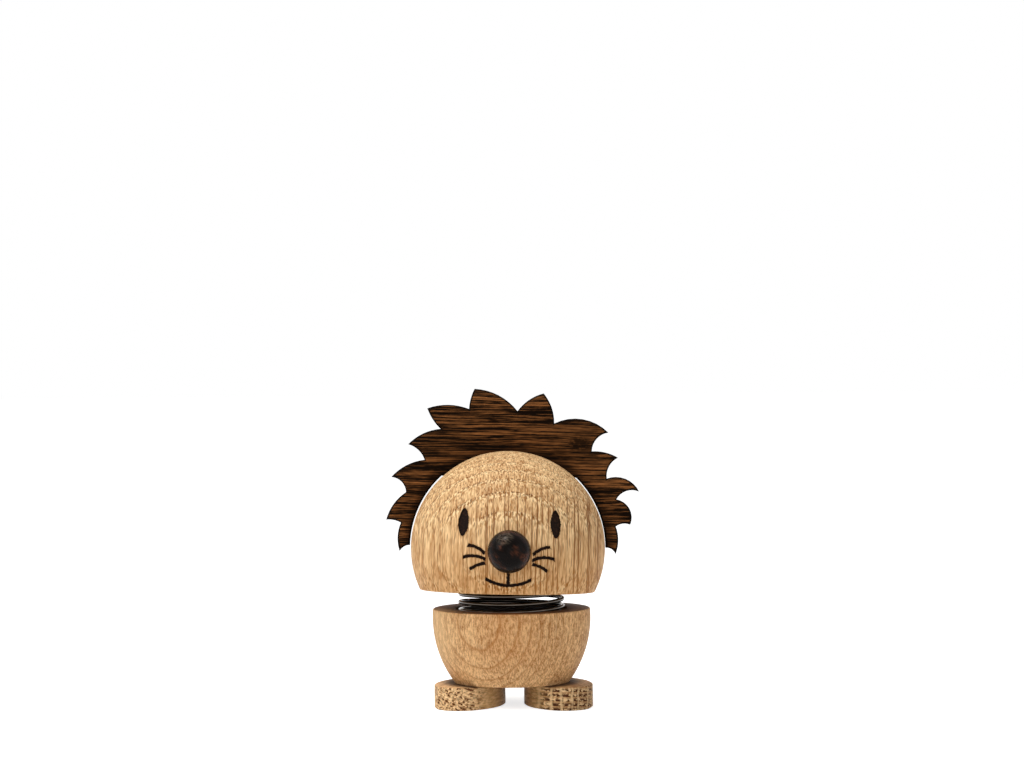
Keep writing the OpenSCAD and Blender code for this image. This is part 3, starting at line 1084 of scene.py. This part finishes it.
    def dress_dowels(self, side: Side) -> None:
        """Gives the dowels of a foot plain pale wood.

        Args:
            side: The side that the foot is on.
        """
        node = f"{side.name.lower()}_foot_dowels"
        low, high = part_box(node)
        wood = Axes((low + high) / 2, RIGHT, BACK, UP)
        dress(frame["nodes"][node], Beech(f"{node}_wood", wood))


@dataclass
class WireSpring:
    """The wire spring, which stretches evenly between the body and the head."""

    pose: HeadPose
    coil_d: float = 28.8
    wire_d: float = 1.1
    turns: float = 6.7
    start: float = 200.0
    lean: float = 0.5
    wave: float = 0.2
    bend_in: float = 3.0
    bend_r: float = 1.5
    leg: float = 2.6
    groove_h: float = 6.0
    rings_a_turn: int = 60
    sides: int = 16
    bend_steps: int = 10
    split: float = 0.3

    @property
    def mean_r(self) -> float:
        """Gives the radius of the coil's middle line."""
        return (self.coil_d - self.wire_d) / 2

    def ray(self, turn: float) -> Vector:
        """Gives the direction out from the coil after a number of turns."""
        angle = math.radians(self.start + 360 * turn)
        return Vector((math.cos(angle), math.sin(angle), 0))

    def coil(self, turn: float) -> Vector:
        """Winds the wire upright about the spring's axis.

        Args:
            turn: The number of turns from the lower end.

        Returns:
            The point of the wire there, in millimetres.
        """
        top = BODY_TOP / MM
        low = top - self.groove_h + self.bend_r
        high = top + self.pose.gap + self.groove_h - self.bend_r
        return self.ray(turn) * self.mean_r + Vector((0, 0, low + (high - low) * turn / self.turns))

    def bent(self, turn: float, way: int) -> list[Vector]:
        """Bends an end of the wire into its hole.

        Args:
            turn: The number of turns at which the coil ends.
            way: 1 for the upper end and -1 for the lower one.

        Returns:
            Points from the coil to the end of the wire, in millimetres.
        """
        along = UP.cross(self.ray(turn)) * way
        bend: list[Vector] = []
        for step in range(1, self.bend_steps + 1):
            angle = math.pi / 2 * step / self.bend_steps
            aside = along * math.sin(angle) + Vector((0, 0, way * (1 - math.cos(angle))))
            bend.append(self.coil(turn) + self.bend_r * aside)
        return bend + [bend[-1] + Vector((0, 0, way * self.leg))]

    def wound(self) -> list[tuple[Vector, Vector]]:
        """Joins the upright coil and its two bent ends.

        Returns:
            Points along the wire from the lower end to the upper one, in millimetres, each with
            the direction out from the coil.
        """
        count = math.ceil(self.turns * self.rings_a_turn)
        turns = [self.turns * i / count for i in range(count + 1)]
        lower = [(point, self.ray(0)) for point in reversed(self.bent(0, -1))]
        upper = [(point, self.ray(self.turns)) for point in self.bent(self.turns, 1)]
        return lower + [(self.coil(turn), self.ray(turn)) for turn in turns] + upper

    def settled(self, point: Vector) -> Vector:
        """Moves a point of the upright coil to where it lies under the settled head.

        Args:
            point: The point about the spring's axis, in millimetres.

        Returns:
            The point in the frame, in metres.
        """
        top = BODY_TOP / MM
        way = min(max((point.z - top + self.bend_in) / (self.pose.gap + 2 * self.bend_in), 0), 1)
        share, most = (t * t * (3 - 2 * t) for t in (way, 1 - abs(2 * way - 1)))
        upright = point * MM + SPRING_AXIS
        from_head = (point - Vector((self.pose.shift, 0, top + self.pose.gap))) * MM
        with_head = self.pose.underside + self.pose.rotation @ from_head
        rise = point.y * math.tan(math.radians(self.lean * most))
        rise += self.wave * most * (point.x**2 - point.y**2) / self.mean_r**2
        return upright.lerp(with_head, share) + Vector((0, 0, rise * MM))

    def tube(
        self, name: str, path: list[Vector], out: list[Vector], ends: tuple[int, int]
    ) -> bpy.types.Object:
        """Sweeps the wire along a stretch of its path.

        Args:
            name: The piece's name.
            path: The whole path, in metres.
            out: The direction out from the coil at each point.
            ends: The first and the last point of the stretch.

        Returns:
            The closed tube.
        """
        vertices: list[Vector] = []
        for i in range(ends[0], ends[1] + 1):
            ahead = (path[min(i + 1, len(path) - 1)] - path[max(i - 1, 0)]).normalized()
            up = (out[i] - ahead * ahead.dot(out[i])).normalized()
            aside = ahead.cross(up)
            for k in range(self.sides):
                angle = 2 * math.pi * k / self.sides
                spoke = up * math.cos(angle) + aside * math.sin(angle)
                vertices.append(path[i] + spoke * self.wire_d / 2 * MM)
        count = ends[1] - ends[0]
        faces: list[Sequence[int]] = [
            (
                i * self.sides + k,
                i * self.sides + (k + 1) % self.sides,
                (i + 1) * self.sides + (k + 1) % self.sides,
                (i + 1) * self.sides + k,
            )
            for i in range(count)
            for k in range(self.sides)
        ]
        faces.append(range(self.sides - 1, -1, -1))
        faces.append(range(count * self.sides, (count + 1) * self.sides))
        return mesh_object(name, vertices, faces)

    def build(self) -> None:
        """Builds the spring in two lengths of wire that meet in the gap, at the split's share of it."""
        wound = self.wound()
        path = [self.settled(point) for point, _ in wound]
        out = [direction for _, direction in wound]
        split_z = BODY_TOP + self.split * self.pose.gap * MM
        split = next(i for i, point in enumerate(path) if point.z > split_z)
        lower = self.tube("spring_lower", path, out, (0, split))
        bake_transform(lower)
        upper = self.tube("spring_upper", path, out, (split, len(path) - 1))
        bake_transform(upper)
        steel = BlackSteel("spring_steel", relief_h=0.004, specular=0.5)
        for piece in (lower, upper):
            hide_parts("spring")
            dress(piece, steel)


@dataclass
class Head:
    """The ball-shaped head with its burnt face, its mane plate and its nose."""

    pose: HeadPose
    mane_edge: Point = (0.5, 0.35)
    nose_turn: float = 35.0
    # The direction that the nose's painted highlight faces.
    nose_gleam_normal: tuple[float, float, float] = (-0.21, -0.67, 0.71)

    def build(self) -> None:
        """Builds and dresses the pieces that bob."""
        axes = self.pose.ball_axes()
        self.dress_ball(axes)
        self.build_mane(axes)
        self.dress_nose(axes)

    def dress_ball(self, axes: Axes) -> None:
        """Gives the ball oak whose rings lie along the face, and burns the face into it.

        Args:
            axes: The middle of the ball and the head's own directions.
        """
        wood = Axes(axes.origin, -axes.x, -axes.y, axes.z)
        oak = FaceOak(
            "head_oak",
            wood,
            ring=2.9,
            first_ring=0.7,
            bow=32.0,
            wander=0.9,
            early=0.5,
            end_from=(0.0, 0.42),
            ray_gap=1.7,
            ray_w=0.34,
            ray_from=(0.33, 0.48),
            ray_cut=(0.35, 0.85),
            bold_from=(4.0, 16.0),
            grain=(0.34, 1.4),
            pale=srgb(252, 214, 160),
            tan=srgb(162, 108, 58),
            dash_share=0.6,
            ray_share=0.9,
            specular=0.1,
            face=BurntFace(axes),
        )
        dress(frame["nodes"]["head"], oak)

    def build_mane(self, axes: Axes) -> None:
        """Builds the mane plate with eased edges from dark streaked wood.

        Args:
            axes: The middle of the ball and the head's own directions.
        """
        mane = eased_copy("mane", "mane_eased", axes.y, self.mane_edge)
        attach(mane, Body.HEAD.value)
        dress(mane, StreakedWood("mane_wood", axes, specular=0.02))

    def dress_nose(self, axes: Axes) -> None:
        """Gives the nose its dark stain and its peg plain pale wood.

        Args:
            axes: The middle of the ball and the head's own directions.
        """
        low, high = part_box("nose")
        turn = Matrix.Rotation(math.radians(self.nose_turn), 3, "Y")
        own = Axes((low + high) / 2, turn @ axes.x, axes.y, turn @ axes.z)
        stain = StainedWood("nose_wood", own, Vector(self.nose_gleam_normal).normalized(), specular=0.06)
        dress(frame["nodes"]["nose"], stain)
        wood = Axes(axes.origin, axes.x, axes.z, axes.y)
        dress(frame["nodes"]["nose_peg"], Beech("peg_wood", wood))


@dataclass(frozen=True)
class Lamp:
    """A square soft light: its place, its width and how bright it makes a white surface."""

    name: str
    place: tuple[float, float, float]
    width: float
    level: float


@dataclass
class Studio:
    """The white floor, the soft lights and the camera."""

    camera_back: float = 800.0
    camera_up: float = 94.7
    camera_aside: float = 0.675
    camera_pitch: float = 0.58
    camera_roll: float = 0.45
    lens: float = 104.24
    sensor: float = 36.0
    sky_low: float = 0.2
    sky_high: float = 0.4
    floor_grey: float = 0.8
    floor_glow: float = 0.76
    floor_reach: float = 6000.0
    lamps: tuple[Lamp, ...] = (
        Lamp("key", (-750.0, -420.0, 580.0), 600.0, 0.4),
        Lamp("top", (-250.0, -140.0, 920.0), 200.0, 0.45),
        Lamp("fill", (800.0, -500.0, 350.0), 700.0, 0.14),
        Lamp("front", (100.0, -1000.0, 250.0), 600.0, 0.1),
    )

    def build(self) -> None:
        """Sets the stage, the lights and the camera."""
        self.set_world()
        self.lay_floor()
        self.hang_lights()
        self.set_camera()
        bpy.context.scene.view_settings.view_transform = "Standard"

    def seen(self, graph: Graph) -> Wire:
        """Tells where a ray comes straight from the camera, a mirror or glass.

        Args:
            graph: The tree that the nodes go into.

        Returns:
            1 for such a ray and 0 for any other.
        """
        names = ("Is Camera Ray", "Is Glossy Ray", "Is Transmission Ray")
        camera, mirror, glass = (graph.node("ShaderNodeLightPath", output=name) for name in names)
        return camera.most(mirror).most(glass)

    def set_world(self) -> None:
        """Makes the surroundings white to look at and a plain light to stand in."""
        world = bpy.data.worlds.new("studio")
        bpy.context.scene.world = world
        graph = Graph(world)
        height = graph.node("ShaderNodeTexCoord", output="Generated").dot((0, 0, 1))
        sky = graph.blend(height.rises(0.0, 0.9), grey(self.sky_low), grey(self.sky_high))
        colour = graph.blend(self.seen(graph), sky, grey(1.0))
        light = graph.node("ShaderNodeBackground", None, {"Color": colour, "Strength": 1.0})
        graph.node("ShaderNodeOutputWorld", None, {"Surface": light})

    def lay_floor(self) -> None:
        """Lays a white floor that glows to the eye but keeps the figure's shadow."""
        corners = [Vector((x, y, 0)) for x, y in ((-1, -1), (1, -1), (1, 1), (-1, 1))]
        reach = self.floor_reach * MM
        floor = mesh_object("floor", [corner * reach for corner in corners], [(0, 1, 2, 3)])
        material = bpy.data.materials.new("floor_white")
        graph = Graph(material)
        white = graph.node("ShaderNodeBsdfDiffuse", None, {"Color": grey(self.floor_grey)})
        colour = graph.blend(self.seen(graph), grey(0.0), grey(self.floor_glow))
        lit = graph.node("ShaderNodeEmission", None, {"Color": colour, "Strength": 1.0})
        both = graph.node("ShaderNodeAddShader", None, {"Shader": white, "Shader_001": lit})
        graph.node("ShaderNodeOutputMaterial", None, {"Surface": both})
        floor.data.materials.append(material)

    def hang_lights(self) -> None:
        """Hangs the lights round the figure, all aimed at its middle."""
        aim = (CAD_BOX[0] + CAD_BOX[1]) / 2
        for lamp in self.lamps:
            self.hang(lamp, aim)

    def hang(self, lamp: Lamp, aim: Vector) -> None:
        """Hangs one light.

        Args:
            lamp: The light.
            aim: The point that it looks at.
        """
        place = Vector(lamp.place) * MM
        light = bpy.data.lights.new(lamp.name, "AREA")
        light.size = lamp.width * MM
        light.energy = lamp.level * math.pi**2 * (place - aim).length_squared
        hung = bpy.data.objects.new(lamp.name, light)
        hung.location = place
        hung.rotation_euler = (aim - place).to_track_quat("-Z", "Y").to_euler()
        bpy.context.scene.collection.objects.link(hung)

    def set_camera(self) -> None:
        """Sets the camera at the photograph's viewing angle."""
        lens = bpy.data.cameras.new("camera")
        lens.lens = self.lens
        lens.sensor_width = self.sensor
        camera = bpy.data.objects.new("camera", lens)
        place = Vector((self.camera_aside, -self.camera_back, self.camera_up))
        camera.location = SPRING_AXIS + place * MM
        tilt = math.radians(90 - self.camera_pitch)
        camera.rotation_euler = (tilt, math.radians(self.camera_roll), 0)
        bpy.context.scene.collection.objects.link(camera)
        bpy.context.scene.camera = camera


def main() -> None:
    """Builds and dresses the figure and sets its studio."""
    logging.basicConfig(level=logging.INFO, format="%(name)s: %(message)s")
    pose = HeadPose()
    Base().build()
    WireSpring(pose).build()
    Head(pose).build()
    Studio().build()


if __name__ == "__main__":
    main()
